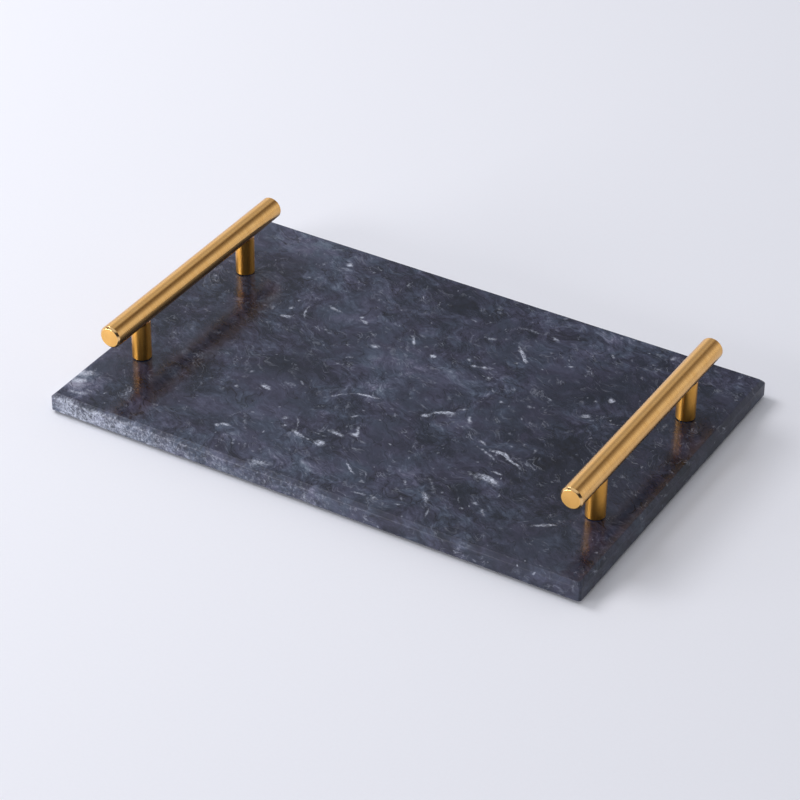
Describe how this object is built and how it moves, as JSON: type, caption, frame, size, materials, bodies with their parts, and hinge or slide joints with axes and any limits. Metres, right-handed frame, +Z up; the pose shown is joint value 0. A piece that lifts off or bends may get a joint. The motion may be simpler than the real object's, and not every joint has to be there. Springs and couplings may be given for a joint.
{
  "type": "serving tray",
  "caption": "Flat rectangular stone serving tray with round metal bar handles on posts near its short edges, resting on thin pads.",
  "frame": {"origin": "on the table, under the middle of the slab", "axes": "+X along the slab's long side towards the right-hand handle, +Y towards the rear long edge, +Z up"},
  "size_m": [0.3, 0.2, 0.0431],
  "materials": {
    "marble": "polished",
    "gold_steel": "satin",
    "plated_steel": "satin",
    "pad_rubber": "matte"
  },
  "bodies": {
    "root": {"marble_slab": "marble", "handle_bar_left": "gold_steel", "handle_bar_right": "gold_steel", "post_left_front": "gold_steel", "post_left_rear": "gold_steel", "post_right_front": "gold_steel", "post_right_rear": "gold_steel", "bar_stud_left_front": "plated_steel", "bar_stud_left_rear": "plated_steel", "bar_stud_right_front": "plated_steel", "bar_stud_right_rear": "plated_steel", "handle_screw_left_front": "plated_steel", "handle_screw_left_rear": "plated_steel", "handle_screw_right_front": "plated_steel", "handle_screw_right_rear": "plated_steel", "washer_left_front": "plated_steel", "washer_left_rear": "plated_steel", "washer_right_front": "plated_steel", "washer_right_rear": "plated_steel", "foot_left_front": "pad_rubber", "foot_left_rear": "pad_rubber", "foot_right_front": "pad_rubber", "foot_right_rear": "pad_rubber"}
  },
  "joints": []
}
